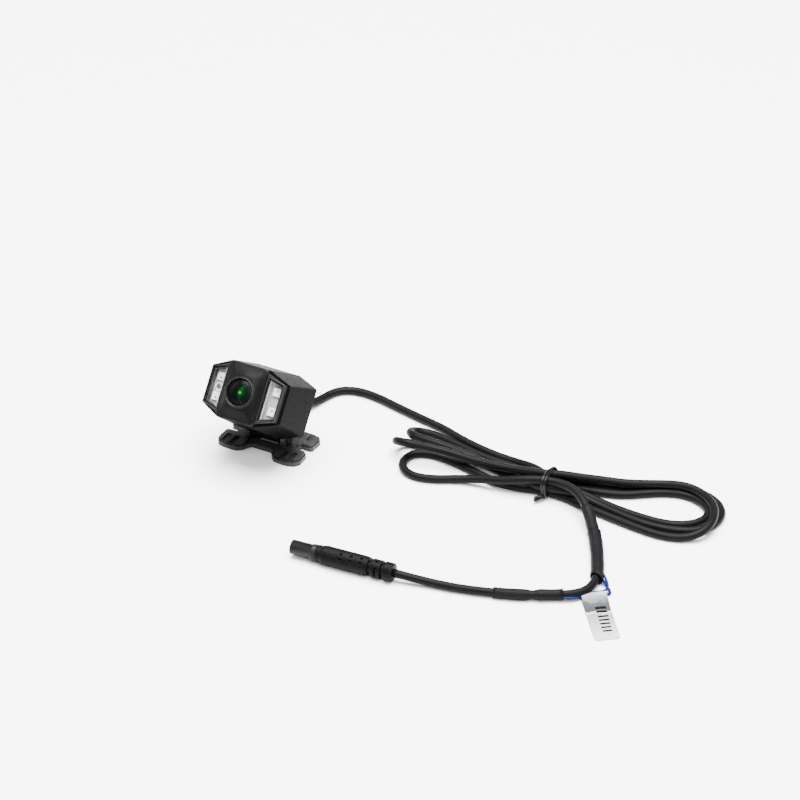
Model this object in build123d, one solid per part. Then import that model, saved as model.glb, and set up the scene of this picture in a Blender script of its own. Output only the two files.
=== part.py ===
from build123d import *
import math
import os

# Backup camera: head on a tilting foot, butterfly base, and its own lead. Millimetres, +Z up.
# The camera looks towards -Y. The origin is the centre of the base's underside.

# Head, in its own frame: x across, y back from the face of the centre panel, z up
TILT = 37.0
HEAD_Y = -20.0
HEAD_Z = 35.9
DEPTH = 27.0
FRONT_SECTION = (8.7, 12.2, 18.1, 7.9)
REAR_SECTION = (9.9, 13.7, 19.15, 10.2)
WALL = 1.8
LEDGE = 0.9
PANEL_THICK = 0.8
BAY_X = 9.0
BAY_Y = 0.0
BAY_END_X = 18.3
BAY_END_Y = 2.8
# the raised window bezels: their front line in plan, and how far inside the shell's edge they stop
BEZEL = (9.05, -1.3, 17.1, -0.28)
BEZEL_INSET = 1.15
BLOCK_RIM = 1.8
BLOCK_TOP = 4.5
COVER_THICK = 2.6
GASKET_THICK = 0.5
WINDOW_IN = (10.25, 8.55)
WINDOW_OUT = (15.84, 6.9)
LED_X = 13.0
LED_DEPTH = 2.8
LENS_RING_R = 6.85
RING_FRONT = -4.8
LENS_GLASS_R = 6.0
BARREL_R = 6.0
BOARD_Y = 16.5
POSTS = [(10.0, 6.4), (-10.0, -6.4)]

# Hinge and base
PIVOT_Y = -0.6
PIVOT_Z = 5.6
PIN_R = 1.0
KNUCKLE_R = 2.8
KNUCKLE_HALF = 7.0
WASHER = 0.5
EAR_THICK = 1.8
LINER_TOP = 0.15
PAD_TOP = 0.75
PLATE_TOP = 1.9
TOE_TOP = 2.8
GROOVES = [15.6, 11.7]
GROOVE_W = 2.3

# Lead
CORD_R = 1.75
WIRE_R = 0.6
LEAD = [(0, 1.56, 19.65), (0, 13.5, 10.65), (1.2, 24.5, 4.3), (3.6, 34.5, 1.75), (7.0, 47.0, 1.75),
        (18.5, 51.0, 1.75), (42.5, 45.0, 1.75), (60.0, 41.6, 1.75), (77.0, 33.0, 2.2)]
TAIL = [(126.0, 19.5, 8.6), (134.0, 17.2, 8.9), (141.0, 11.8, 7.6), (147.0, 5.2, 4.8), (155.5, -6.5, 2.9),
        (170.0, -36.0, 2.9), (147.6, -48.6, 2.5), (138.0, -52.6, 2.4), (120.2, -57.9, 2.1),
        (104.5, -60.5, 2.4), (93.0, -63.2, 4.05)]
WIRE_LOOP = [(166.9, -24.2, 2.5), (173.2, -30.5, 0.75), (172.6, -37.4, 0.7), (159.6, -45.0, 1.0)]
SLEEVES = [("junction_sleeve_inner", 2, 5, 0.2, 0.25, 2.45, 1.78), ("junction_sleeve_outer", 3, 5, 0.5, 0.64, 2.85, 2.48),
           ("splice_sleeve", 5, 8, 0.58, 0.31, 2.2, 1.78)]
HANK_OUTLINE = [(48.0, 31.5), (45.2, 22.0), (50.5, 11.0), (60.0, 3.8), (76.0, 3.2), (100.0, 10.0), (118.0, 16.2),
                (140.0, 13.8), (160.0, 10.6), (182.0, 12.2), (192.0, 21.5), (190.5, 36.5), (180.0, 46.8),
                (163.0, 48.2), (140.0, 37.5), (120.0, 30.2), (105.0, 31.5), (80.0, 33.5), (62.0, 35.5)]
HANK_LEFT = [(55.0, 24.0), (60.0, 14.0), (75.0, 13.0), (96.0, 18.5), (76.0, 23.5), (62.0, 26.0)]
HANK_RIGHT = [(142.0, 25.5), (165.0, 21.5), (178.0, 24.0), (181.5, 30.0), (175.0, 36.0), (163.0, 36.5)]
HANK_H = 10.2
TIE_X = 117.8
TIE_Y = 21.2
PLUG_R = 4.05
PLUG_TURN = 184.0

os.makedirs("parts", exist_ok=True)


def save(name, shape):
    export_step(shape, f"parts/{name}.step")


def cylinder(r, length, x=0, y=0, z=0, axis="y"):
    """A cylinder starting at the point and running along +axis."""
    turn = {"x": (0, 90, 0), "y": (-90, 0, 0), "z": (0, 0, 0)}[axis]
    body = Cylinder(r, length, align=(Align.CENTER, Align.CENTER, Align.MIN))
    return Location((x, y, z), turn) * body


def box(x0, x1, y0, y1, z0, z1):
    return Pos((x0 + x1) / 2, (y0 + y1) / 2, (z0 + z1) / 2) * Box(x1 - x0, y1 - y0, z1 - z0)


def prism(points, z0, z1):
    """A prism of plan points between two heights."""
    return extrude(Pos(0, 0, z0) * make_face(Polyline(*points, close=True)), z1 - z0)


def side_prism(points, half):
    """A prism of (y, z) points across the width."""
    face = make_face(Polyline(*[(-half, y, z) for y, z in points], close=True))
    return extrude(face, amount=2 * half, dir=(1, 0, 0))


def smooth(shape, edges, radius):
    """Round the edges that the kernel can round, largest radius first."""
    for factor in (1.0, 0.6, 0.35):
        try:
            return fillet(edges, radius * factor)
        except Exception:
            continue
    return shape


def to_world(shape):
    return Location((0, HEAD_Y, HEAD_Z), (-TILT, 0, 0)) * shape


# ---------------------------------------------------------------- head shell

def octagon(section, inset, y):
    c, h, w, k = section
    c -= inset * 0.414
    h -= inset
    w -= inset
    k -= inset * 0.414
    pts = [(c, h), (w, k), (w, -k), (c, -h), (-c, -h), (-w, -k), (-w, k), (-c, h)]
    return make_face(Polyline(*[(x, y, z) for x, z in pts], close=True))


def section_at(y):
    t = y / DEPTH
    return tuple(a + (b - a) * t for a, b in zip(FRONT_SECTION, REAR_SECTION))


def taper(inset, y0, y1):
    return loft([octagon(section_at(y0), inset, y0), octagon(section_at(y1), inset, y1)], ruled=True)


def front_of(line, t):
    """Plan region in front of a surface, mirrored about x = 0, whose front line in plan is sunk by t."""
    x0, y0, x1, y1 = line
    run = (x1 - x0, y1 - y0)
    size = math.hypot(*run)
    nx, ny = -run[1] / size, run[0] / size
    slope = run[1] / run[0]
    y_in = y0 + t
    x_in = x0 + nx * t + (y_in - (y0 + ny * t)) / slope
    y_out = y_in + (30 - x_in) * slope
    pts = [(-x_in, y_in), (x_in, y_in), (30, y_out), (30, -12), (-30, -12), (-30, y_out)]
    return prism(pts, -30, 30)


def bay_front(t):
    return front_of((BAY_X, BAY_Y, BAY_END_X, BAY_END_Y), t)


def bezel_front(t):
    return front_of(BEZEL, t)


def window_prism(side, grow_x, grow_z):
    """The window's outline, grown by some, as a prism along y."""
    (x0, h0), (x1, h1) = WINDOW_IN, WINDOW_OUT
    x0, x1, h0, h1 = x0 - grow_x, x1 + grow_x, h0 + grow_z, h1 + grow_z
    pts = [(side * x0, -h0), (side * x1, -h1), (side * x1, h1), (side * x0, h0)]
    face = make_face(Polyline(*[(x, -8, z) for x, z in pts], close=True))
    return extrude(face, amount=20, dir=(0, 1, 0))


def bezel_y(x, t=0.0):
    """y of the bezel's front at x, sunk by t."""
    x0, y0, x1, y1 = BEZEL
    return y0 + (abs(x) - x0) * (y1 - y0) / (x1 - x0) + t


def on_bezel(side, x, z, t):
    """Location on a plane parallel to the bezel's front, local +z pointing out."""
    x0, y0, x1, y1 = BEZEL
    size = math.hypot(x1 - x0, y1 - y0)
    ux, uy = (x1 - x0) / size, (y1 - y0) / size
    plane = Plane(origin=(side * x, bezel_y(x, t), z), x_dir=(side * ux, uy, 0), z_dir=(side * uy, -ux, 0))
    return plane.location


outer = taper(0, -2, DEPTH)
long_edges = [e for e in outer.edges() if e.length > 20 and abs(e.tangent_at(0.5).Y) > 0.7]
outer = smooth(outer, long_edges, 0.9)
rear_edges = outer.faces().sort_by(Axis.Y)[-1].edges()
outer = smooth(outer, rear_edges, 1.6)
outer = outer - bay_front(0)
front_cavity = taper(WALL, -3, DEPTH - 2.2)
rear_cavity = taper(WALL + LEDGE, -3, DEPTH - 2.2)
ledge_y = COVER_THICK + GASKET_THICK
housing = outer - (front_cavity & bay_front(ledge_y)) - rear_cavity
for x, z in POSTS:
    post = cylinder(2.1, DEPTH - 2.0 - (BOARD_Y + 1.0), x, BOARD_Y + 1.0, z)
    housing = housing + (post & outer)
    housing = housing - cylinder(0.62, 5.0, x, BOARD_Y + 1.0, z)
housing = housing - cylinder(2.6, 6, 0, DEPTH - 4, 0)
housing = to_world(housing)
lug_profile = [(-7.2, 9.4), (-4.3, 12.6), (1.7, 7.2), (1.2, 5.0), (-0.6, 4.0), (-4.0, 4.0), (-4.0, 5.9), (-6.6, 8.2)]
lug = side_prism(lug_profile, KNUCKLE_HALF)
lug = lug + cylinder(KNUCKLE_R, 2 * KNUCKLE_HALF, -KNUCKLE_HALF, PIVOT_Y, PIVOT_Z, "x")
lug = lug - to_world(rear_cavity)
housing = housing + lug
housing = housing - cylinder(PIN_R + 0.05, 30, -15, PIVOT_Y, PIVOT_Z, "x")
save("rear_housing", housing)

cover = taper(WALL + 0.08, -1, 12) & (bay_front(COVER_THICK) - bay_front(0.05))
bezel = taper(BEZEL_INSET, -3, 8) & (bay_front(-0.04) - bezel_front(0))
bezel = bezel - box(-BEZEL[0], BEZEL[0], -10, 8, -20, 20)
neck = (taper(WALL + 0.08, -1, 12) & (bay_front(0.4) - bay_front(-0.2))) - box(-BEZEL[0], BEZEL[0], -10, -0.0, -20, 20)
cover = cover + bezel + neck + box(-BAY_X, BAY_X, BAY_Y + 0.05, 3.4, -9.3, 9.3)
cover = cover - cylinder(BARREL_R + 0.5, 8, 0, -1, 0)
windows = {}
for side in (-1, 1):
    cover = cover - window_prism(side, 0, 0)
    cover = cover - (window_prism(side, 0.5, 0.5) & (bezel_front(1.05) - bezel_front(-3)))
    windows[side] = window_prism(side, 0.45, 0.45) & (bezel_front(1.0) - bezel_front(0.12))
save("front_cover", to_world(cover))
save("window_left", to_world(windows[-1]))
save("window_right", to_world(windows[1]))

gasket = (taper(WALL + 0.1, -1, 12) - taper(WALL + LEDGE, -2, 13)) & (bay_front(ledge_y) - bay_front(COVER_THICK))
save("front_gasket", to_world(gasket))


def front_plane(y):
    return Plane(origin=(0, y, 0), x_dir=(1, 0, 0), z_dir=(0, -1, 0))


block_face = RectangleRounded(2 * BAY_X, 2 * (FRONT_SECTION[1] - 0.1), 1.8)
block = extrude(front_plane(0.0) * block_face, BLOCK_RIM)
crown = loft([front_plane(-BLOCK_RIM) * block_face, front_plane(-BLOCK_TOP) * RectangleRounded(15.7, 15.7, 7.8)], ruled=True)
panel = block + crown
panel = panel - cylinder(LENS_RING_R + 0.05, 8, 0, -9.75, 0) - cylinder(BARREL_R + 0.5, 12, 0, -8, 0)
save("centre_panel", to_world(panel))

# ---------------------------------------------------------------- lens and boards

flange = cylinder(LENS_RING_R, 3.0, 0, RING_FRONT, 0)
flange = smooth(flange, flange.edges().filter_by(GeomType.CIRCLE).sort_by(Axis.Y)[0:1], 0.25)
barrel = flange + cylinder(BARREL_R + 0.4, 15.1, 0, -2.0, 0)
barrel = barrel - cylinder(6.35, 1.3, 0, RING_FRONT - 0.2, 0)
barrel = barrel - cylinder(LENS_GLASS_R + 0.05, 2.4, 0, RING_FRONT + 0.9, 0) - cylinder(4.6, 24, 0, -6, 0)
save("lens_barrel", to_world(barrel))
ring = cylinder(6.3, 1.2, 0, RING_FRONT - 0.15, 0)
ring = smooth(ring, ring.edges().filter_by(GeomType.CIRCLE).sort_by(Axis.Y)[0:1], 0.25)
ring = ring - cylinder(5.6, 3, 0, RING_FRONT - 1, 0)
save("lens_retaining_ring", to_world(ring))


def lens(radius, y0, y1, sag):
    """A lens with a domed front whose rim starts at y0 and apex stands sag in front of it."""
    dome = (radius ** 2 + sag ** 2) / (2 * sag)
    ball = Pos(0, y0 - sag + dome, 0) * Sphere(dome)
    return cylinder(radius, y1 - y0 + sag, 0, y0 - sag, 0) & (ball + cylinder(radius, y1 - y0, 0, y0, 0))


front_lens = cylinder(LENS_GLASS_R, 2.0, 0, -3.65, 0) + lens(5.55, -3.65, -1.65, 1.6)
front_lens = front_lens - Pos(0, 1.55, 0) * Sphere(4.0)
save("front_lens", to_world(front_lens))
save("middle_lens", to_world(lens(4.5, 1.2, 2.8, 0.9)))
save("rear_lens", to_world(lens(4.5, 9.0, 10.8, 0.8)))
cover_seat = cylinder(BARREL_R + 1.4, 0.9, 0, 3.45, 0) - cylinder(BARREL_R + 0.45, 2, 0, 3, 0)
save("lens_seal", to_world(cover_seat))

holder = box(-8.2, 8.2, 9.0, BOARD_Y, -8.2, 8.2) - cylinder(BARREL_R + 0.43, 5.2, 0, 9.0 - 0.1, 0)
holder = holder - box(-5.6, 5.6, 14.0, BOARD_Y + 1, -5.6, 5.6)
holder = smooth(holder, holder.edges().filter_by(Axis.Y).sort_by_distance((0, 12, 0))[-4:], 1.2)
save("lens_holder", to_world(holder))
save("filter_glass", to_world(box(-4.5, 4.5, 14.25, 14.8, -4.5, 4.5)))
save("image_sensor", to_world(box(-4.0, 4.0, 15.3, BOARD_Y, -3.6, 3.6)))
board = box(-11.8, 11.8, BOARD_Y, BOARD_Y + 1.0, -8.8, 8.8)
chips = []
for x, z, w, h, t in [(-5, 3, 6, 6, 0.9), (4.5, 4.2, 4, 3, 1.0), (3.5, -3.4, 3, 3, 0.8), (9.2, 0.5, 1.6, 2.4, 0.7),
                      (-9.2, 1.5, 1.6, 2.6, 0.7), (8.6, -4.6, 2, 1.2, 0.6), (-2.2, -2.5, 1.6, 0.9, 0.5)]:
    chips.append(box(x - w / 2, x + w / 2, BOARD_Y + 1.0, BOARD_Y + 1.0 + t, z - h / 2, z + h / 2))
screws = []
for x, z in POSTS:
    board = board - cylinder(0.95, 3, x, BOARD_Y - 1, z)
    screw = cylinder(1.5, 0.9, x, BOARD_Y - 0.9, z) + cylinder(0.6, 5.2, x, BOARD_Y - 0.1, z)
    screws.append(screw - box(x - 1.0, x + 1.0, BOARD_Y - 1.0, BOARD_Y - 0.5, z - 0.15, z + 0.15))
save("main_board", to_world(board))
save("board_chips", to_world(Compound(chips)))
save("board_screws", to_world(Compound(screws)))
socket = box(-4.2, 4.2, BOARD_Y + 1.0, BOARD_Y + 4.2, -8.2, -5.2)
save("board_connector", to_world(socket))
for side, name in ((-1, "left"), (1, "right")):
    depth = LED_DEPTH + 1.1
    plate = window_prism(side, -0.25, -0.25) & (bezel_front(depth + 0.8) - bezel_front(depth))
    save(f"led_board_{name}", to_world(plate - cylinder(BARREL_R + 1.6, 14, 0, -1, 0)))
    leds = []
    for z in (-4.2, 4.2):
        chip = on_bezel(side, LED_X, z, depth - 0.01) * (Pos(0, 0, 0.55) * Box(3.3, 3.9, 1.1))
        leds.append(chip)
    save(f"leds_{name}", to_world(Compound(leds)))
sensor = on_bezel(-1, LED_X + 0.2, 0, depth - 0.01) * Cylinder(1.75, 1.1, align=(Align.CENTER, Align.CENTER, Align.MIN))
save("light_sensor", to_world(sensor))

# ---------------------------------------------------------------- base, pad and hinge

TOE = [(4.4, 6.3), (5.6, 7.3), (6.6, 9.6), (8.6, 11.5), (11.0, 11.9), (15.0, 11.8), (17.9, 11.0), (19.5, 8.6),
       (19.2, 2.9), (18.3, 1.95), (14.6, 1.95), (13.6, 1.0)]


def butterfly(shrink=0.0):
    pts = [(x, y) for x, y in TOE]
    pts += [(x, -y) for x, y in reversed(TOE)]
    pts += [(-x, -y) for x, y in TOE]
    pts += [(-x, y) for x, y in reversed(TOE)]
    return pts


def toe_layer(sx, sy):
    outline = [(9.4, 0.0), (8.4, 3.2), (7.0, 5.6), (7.2, 8.6), (9.0, 10.2), (15.6, 10.2), (17.3, 10.0), (18.9, 8.2),
               (18.7, 3.0), (18.1, 2.3), (14.5, 2.3), (13.2, 1.1), (13.1, 0.0)]
    pts = [(sx * x, sy * y) for x, y in outline]
    layer = prism(pts, PLATE_TOP, TOE_TOP)
    for x in GROOVES:
        cut = box(x - GROOVE_W / 2, x + GROOVE_W / 2, 6.2, 14, PLATE_TOP, 5) + cylinder(GROOVE_W / 2, 5, x, 6.2, 0, "z")
        turn = {(1, 1): cut, (-1, 1): mirror(cut, Plane.YZ), (1, -1): mirror(cut, Plane.XZ)}
        turn[(-1, -1)] = mirror(turn[(-1, 1)], Plane.XZ)
        layer = layer - (turn[(sx, sy)] & box(-30, 30, -30, 30, PLATE_TOP, 5))
    return layer


plan = butterfly()
plate = prism(plan, PAD_TOP, PLATE_TOP)
for sx in (-1, 1):
    for sy in (-1, 1):
        plate = plate + toe_layer(sx, sy)
corners = plate.edges().filter_by(Axis.Z)
plate = smooth(plate, corners, 0.5)
for sx in (-1, 1):
    x0 = KNUCKLE_HALF + WASHER
    x0, x1 = sorted((sx * x0, sx * (x0 + EAR_THICK)))
    ear = box(x0, x1, PIVOT_Y - 2.9, PIVOT_Y + 2.9, PLATE_TOP - 0.4, PIVOT_Z)
    ear = ear + cylinder(2.9, EAR_THICK, x0, PIVOT_Y, PIVOT_Z, "x")
    plate = plate + ear
plate = plate - cylinder(PIN_R + 0.05, 30, -15, PIVOT_Y, PIVOT_Z, "x")
save("base_plate", plate)
save("adhesive_pad", prism(plan, LINER_TOP, PAD_TOP))
save("tape_liner", prism([(x * 1.006, y * 1.01) for x, y in plan], 0, LINER_TOP))

ear_out = KNUCKLE_HALF + WASHER + EAR_THICK
screw = cylinder(PIN_R, 2 * ear_out + 2.2, -ear_out - 0.0, PIVOT_Y, PIVOT_Z, "x")
head = cylinder(1.9, 1.3, -ear_out - 1.3, PIVOT_Y, PIVOT_Z, "x")
slots = box(-ear_out - 1.4, -ear_out - 0.7, PIVOT_Y - 1.3, PIVOT_Y + 1.3, PIVOT_Z - 0.22, PIVOT_Z + 0.22)
cross = box(-ear_out - 1.4, -ear_out - 0.7, PIVOT_Y - 0.22, PIVOT_Y + 0.22, PIVOT_Z - 1.3, PIVOT_Z + 1.3)
save("hinge_screw", screw + head - slots - cross)
hexagon = Location((ear_out, PIVOT_Y, PIVOT_Z), (0, 90, 0)) * extrude(RegularPolygon(2.2, 6), 1.6)
save("hinge_nut", hexagon - cylinder(PIN_R + 0.03, 40, -20, PIVOT_Y, PIVOT_Z, "x"))
washers = []
for sx in (-1, 1):
    x0 = min(sx * KNUCKLE_HALF, sx * (KNUCKLE_HALF + WASHER))
    disc = cylinder(2.5, WASHER, x0, PIVOT_Y, PIVOT_Z, "x")
    washers.append(disc - cylinder(PIN_R + 0.03, 40, -20, PIVOT_Y, PIVOT_Z, "x"))
save("hinge_washers", Compound(washers))

# ---------------------------------------------------------------- lead


def corner_radii(points):
    radii = []
    for a, b, c in zip(points, points[1:], points[2:]):
        u = Vector(*b) - Vector(*a)
        v = Vector(*c) - Vector(*b)
        turn = math.radians(u.get_angle(v))
        radii.append(0.45 * min(u.length, v.length) / math.tan(turn / 2))
    return radii


def tube(points, radii, r):
    wire = FilletPolyline(*points, radius=radii)
    print("bend radii", [round(b, 1) for b in radii], "length", round(wire.length, 1))
    start = Plane(origin=wire @ 0, z_dir=wire % 0)
    return sweep(start * Circle(r), path=wire)


def stretch(points, first, last, cut0, cut1):
    """Points and radii of part of a route, cut inside its first and last runs."""
    radii = corner_radii(points)
    a, b = Vector(*points[first]), Vector(*points[first + 1])
    c, d = Vector(*points[last - 1]), Vector(*points[last])
    start = a + (b - a) * cut0
    end = c + (d - c) * cut1
    mid = [tuple(p) for p in points[first + 1:last]]
    return [tuple(start)] + mid + [tuple(end)], radii[first:last - 1]


grommet = cylinder(3.4, 1.6, 0, DEPTH, 0) + cylinder(2.5, 4.0, 0, DEPTH - 2.6, 0) + cylinder(3.3, 0.8, 0, DEPTH - 3.0, 0)
grommet = grommet + Location((0, DEPTH + 1.6, 0), (-90, 0, 0)) * Cone(3.0, 2.3, 3.4, align=(Align.CENTER, Align.CENTER, Align.MIN))
grommet = grommet - cylinder(CORD_R + 0.03, 12, 0, DEPTH - 4, 0)
save("cable_grommet", to_world(grommet))
save("cable_inside", to_world(cylinder(CORD_R, 4.0, 0, DEPTH - 4.0, 0)))
save("lead_flex", tube(*stretch(LEAD, 0, 4, 0.0, 0.5), CORD_R))
save("lead_run", tube(*stretch(LEAD, 3, 8, 0.5, 1.0), CORD_R))

hank = prism(HANK_OUTLINE, 0.0, HANK_H) - prism(HANK_LEFT, -1, 12) - prism(HANK_RIGHT, -1, 12)
hank = smooth(hank, hank.edges().group_by(Axis.Z)[-1], 1.6)
tie_cut = box(TIE_X - 1.9, TIE_X + 1.9, 0, 50, -1, 12) - box(TIE_X - 3, TIE_X + 3, TIE_Y - 5.2, TIE_Y + 5.2, 0.6, 9.9)
hank = hank - tie_cut
save("cable_hank", hank)
tie = box(TIE_X - 1.6, TIE_X + 1.6, TIE_Y - 6.1, TIE_Y + 6.1, 0.05, 10.8)
tie = smooth(tie, tie.edges().filter_by(Axis.X), 2.8)
tie = tie - box(TIE_X - 3, TIE_X + 3, TIE_Y - 5.25, TIE_Y + 5.25, 0.55, 9.95)
save("cable_tie", tie)

save("tail_run", tube(TAIL, corner_radii(TAIL), CORD_R))
for name, first, last, cut0, cut1, r_out, r_in in SLEEVES:
    sub_route = stretch(TAIL, first, last, cut0, cut1)
    save(name, tube(*sub_route, r_out) - tube(*sub_route, r_in))
save("loop_wires", tube(WIRE_LOOP, corner_radii(WIRE_LOOP), WIRE_R))

label = make_face(Polyline((0, 0.0, 1.6), (5.0, 0, 1.5), (9.5, 0, 0.5), (13, 0, 0.0), (29.6, 0, 0.0), (29.6, 0, 0.3),
                           (13.1, 0, 0.3), (9.6, 0, 0.8), (5.1, 0, 1.8), (0, 0, 1.9), close=True))
label = extrude(label, amount=10.4, dir=(0, 1, 0))
save("flag_label", Location((165.3, -40.6, 0), (0, 0, -52.6)) * label)

# ---------------------------------------------------------------- connector


def turned(profile):
    """A solid of revolution about +X from (x, r) points."""
    pts = [(profile[0][0], 0)] + profile + [(profile[-1][0], 0)]
    face = make_face(Polyline(*[(x, r, 0) for x, r in pts], close=True))
    return revolve(face, Axis.X)


plug_place = Location(TAIL[-1], (0, 0, PLUG_TURN))
overmould = turned([(0, 3.4), (0.4, 3.8), (3.6, 3.8), (3.8, 2.9), (5.1, 2.9), (5.3, 3.8), (10.0, 3.8), (10.1, 2.9),
                    (11.3, 2.9), (11.4, PLUG_R - 0.3), (12.0, PLUG_R), (30.2, PLUG_R), (31.0, 3.75), (33.4, 3.75)])
overmould = overmould - cylinder(CORD_R, 0.6, -0.1, 0, 0, "x")
save("plug_overmould", plug_place * overmould)
shell = turned([(33.4, 3.4), (36.2, 3.4), (36.5, 3.05), (44.8, 3.05)]) - cylinder(2.5, 9.5, 36.2, 0, 0, "x")
save("plug_shell", plug_place * shell)
insert = cylinder(2.47, 2.4, 36.2, 0, 0, "x")
pins = []
for k in range(4):
    a = math.radians(45 + 90 * k)
    pin = cylinder(0.4, 5.2, 37.4, 1.3 * math.cos(a), 1.3 * math.sin(a), "x")
    insert = insert - pin
    pins.append(pin)
save("plug_insert", plug_place * insert)
save("plug_pins", plug_place * Compound(pins))
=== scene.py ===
"""Backup camera on its butterfly base with its tied lead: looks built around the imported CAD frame."""
import math

import bmesh
import bpy
from mathutils import Matrix, Vector, noise


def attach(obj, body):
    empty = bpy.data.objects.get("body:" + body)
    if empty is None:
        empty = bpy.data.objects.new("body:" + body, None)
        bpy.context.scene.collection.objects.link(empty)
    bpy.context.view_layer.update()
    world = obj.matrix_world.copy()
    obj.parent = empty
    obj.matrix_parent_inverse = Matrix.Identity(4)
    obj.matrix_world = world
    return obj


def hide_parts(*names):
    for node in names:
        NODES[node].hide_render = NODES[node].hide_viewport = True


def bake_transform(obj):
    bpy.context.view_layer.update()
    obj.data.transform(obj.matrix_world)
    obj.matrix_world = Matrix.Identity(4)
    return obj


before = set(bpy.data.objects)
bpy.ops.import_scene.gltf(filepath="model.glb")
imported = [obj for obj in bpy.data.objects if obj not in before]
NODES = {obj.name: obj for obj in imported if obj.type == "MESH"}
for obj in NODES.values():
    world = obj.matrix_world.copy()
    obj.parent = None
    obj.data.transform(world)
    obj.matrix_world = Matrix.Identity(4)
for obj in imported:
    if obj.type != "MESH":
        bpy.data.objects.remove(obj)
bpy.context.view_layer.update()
MM = 0.001

# ---------------------------------------------------------------- camera, lights, floor

CAMERA_PLACE = (0.8178, -1.4039, 1.0798)
CAMERA_AZIMUTH = math.radians(28.3)
CAMERA_ELEVATION = math.radians(33.1)
SENSOR_MM = 36.0
LENS_MM = 210.6
CLIP = (0.05, 60)
FLOOR_HALF = 8.0
FLOOR_DROP = 2e-5
FLOOR_GREY = 0.93
# name, place, target, size in metres, power in watts
LIGHTS = [
    ("top_box", (0.05, 0.1, 1.7), (0.05, 0, 0), (1.5, 1.5), 270),
    ("left_box", (-1.3, -0.35, 0.75), (0.03, 0, 0.02), (0.9, 1.1), 12),
    ("front_box", (0.9, -1.2, 1.6), (0.05, 0, 0), (1.0, 1.0), 34),
    ("right_box", (1.5, 0.2, 0.7), (0.05, 0, 0.02), (0.8, 1.0), 5),
]


def make_camera():
    """The camera, looking along its azimuth and elevation from the front right."""
    sa, ca = math.sin(CAMERA_AZIMUTH), math.cos(CAMERA_AZIMUTH)
    se, ce = math.sin(CAMERA_ELEVATION), math.cos(CAMERA_ELEVATION)
    right, up, back = (ca, sa, 0), (-sa * se, ca * se, ce), (sa * ce, -ca * ce, se)
    data = bpy.data.cameras.new("camera")
    data.sensor_width, data.lens = SENSOR_MM, LENS_MM
    data.clip_start, data.clip_end = CLIP
    camera = bpy.data.objects.new("camera", data)
    bpy.context.scene.collection.objects.link(camera)
    turn = Matrix((right, up, back)).transposed().to_4x4()
    camera.matrix_world = Matrix.Translation(CAMERA_PLACE) @ turn
    bpy.context.scene.camera = camera


def area_light(name, place, target, size, power):
    data = bpy.data.lights.new(name, "AREA")
    data.shape, data.size, data.size_y = "RECTANGLE", size[0], size[1]
    data.energy = power
    light = bpy.data.objects.new(name, data)
    bpy.context.scene.collection.objects.link(light)
    light.location = place
    light.rotation_mode = "QUATERNION"
    aim = Vector(target) - Vector(place)
    light.rotation_quaternion = aim.to_track_quat("-Z", "Y")


def make_stage():
    """A plain pale floor, a pale surround and soft boxes."""
    world = bpy.data.worlds.new("surround")
    world.use_nodes = True
    sky = world.node_tree.nodes["Background"]
    sky.inputs["Color"].default_value = (1.0, 1.0, 1.0, 1)
    sky.inputs["Strength"].default_value = 0.4
    bpy.context.scene.world = world
    mesh = bpy.data.meshes.new("floor")
    corners = [(-1, -1), (1, -1), (1, 1), (-1, 1)]
    mesh.from_pydata([(x * FLOOR_HALF, y * FLOOR_HALF, -FLOOR_DROP) for x, y in corners], [], [(0, 1, 2, 3)])
    floor = bpy.data.objects.new("floor", mesh)
    bpy.context.scene.collection.objects.link(floor)
    material = bpy.data.materials.new("floor_pale")
    material.use_nodes = True
    shader = material.node_tree.nodes["Principled BSDF"]
    shader.inputs["Base Color"].default_value = (FLOOR_GREY, FLOOR_GREY, FLOOR_GREY, 1)
    shader.inputs["Roughness"].default_value = 0.7
    shader.inputs["Specular IOR Level"].default_value = 0.1
    mesh.materials.append(material)
    for light in LIGHTS:
        area_light(*light)


make_camera()
make_stage()

# ---------------------------------------------------------------- the lead's route

CORD_R = 1.75
NEAR_END = (5.3, 40.8, 1.75)
LEAD = [
    (0, 1.56, 19.65), (0, 13.5, 10.65), (1.2, 24.5, 4.3), (3.6, 34.5, 1.75), (7.0, 47.0, 1.75), (18.5, 51.0, 1.75),
    (42.5, 45.0, 1.75), (60.0, 41.6, 1.75),
]
# the hank: each list runs from one pass of the tie, round a fold, to the next pass
TO_TIE = [
    (70, 38.0, 1.75), (78, 35.9, 1.75), (88, 34.0, 1.75), (98, 33.4, 1.8), (106, 31.2, 3.6), (112, 28.0, 5.1),
    (117.8, 24.9, 5.5),
]
RIGHT_OUTER = [
    (122.5, 27.2, 5.5), (128, 31.2, 3.5), (136, 35.2, 1.85), (145, 38.2, 1.75), (154, 42.0, 1.75),
    (162, 46.6, 1.75), (170, 49.2, 1.75), (178.5, 48.8, 1.75), (185.5, 45.0, 1.75), (189.5, 39.5, 1.75),
    (190.2, 33, 1.75), (188, 26.8, 1.75), (183.2, 22.2, 1.75), (176, 19.2, 1.75), (166, 17.9, 1.75),
    (154, 19.2, 1.75), (143, 21.2, 1.9), (136.5, 21.6, 2.9), (130, 20.8, 4.9), (124, 19, 5.4), (117.8, 17.6, 5.2),
]
LEFT_FIRST = [
    (108, 20.4, 3.6), (98, 23.0, 2.4), (90, 24.2, 3.2), (82, 24.8, 4.6), (74, 24.4, 5.7), (66, 23.4, 6.8),
    (58.5, 23.2, 7.2), (55, 24.2, 6.9), (52.3, 26.7, 5.9), (51.1, 29.8, 4.4), (51.8, 32.8, 3), (54.2, 35, 2),
    (57.5, 35.6, 1.75), (66, 34.4, 1.75), (74, 32.6, 1.75), (82, 30.8, 1.75), (90, 29.8, 1.75), (98, 29.9, 1.75),
    (106, 28.4, 1.85), (112, 25.8, 2.1), (117.8, 23.0, 2.35),
]
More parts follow.
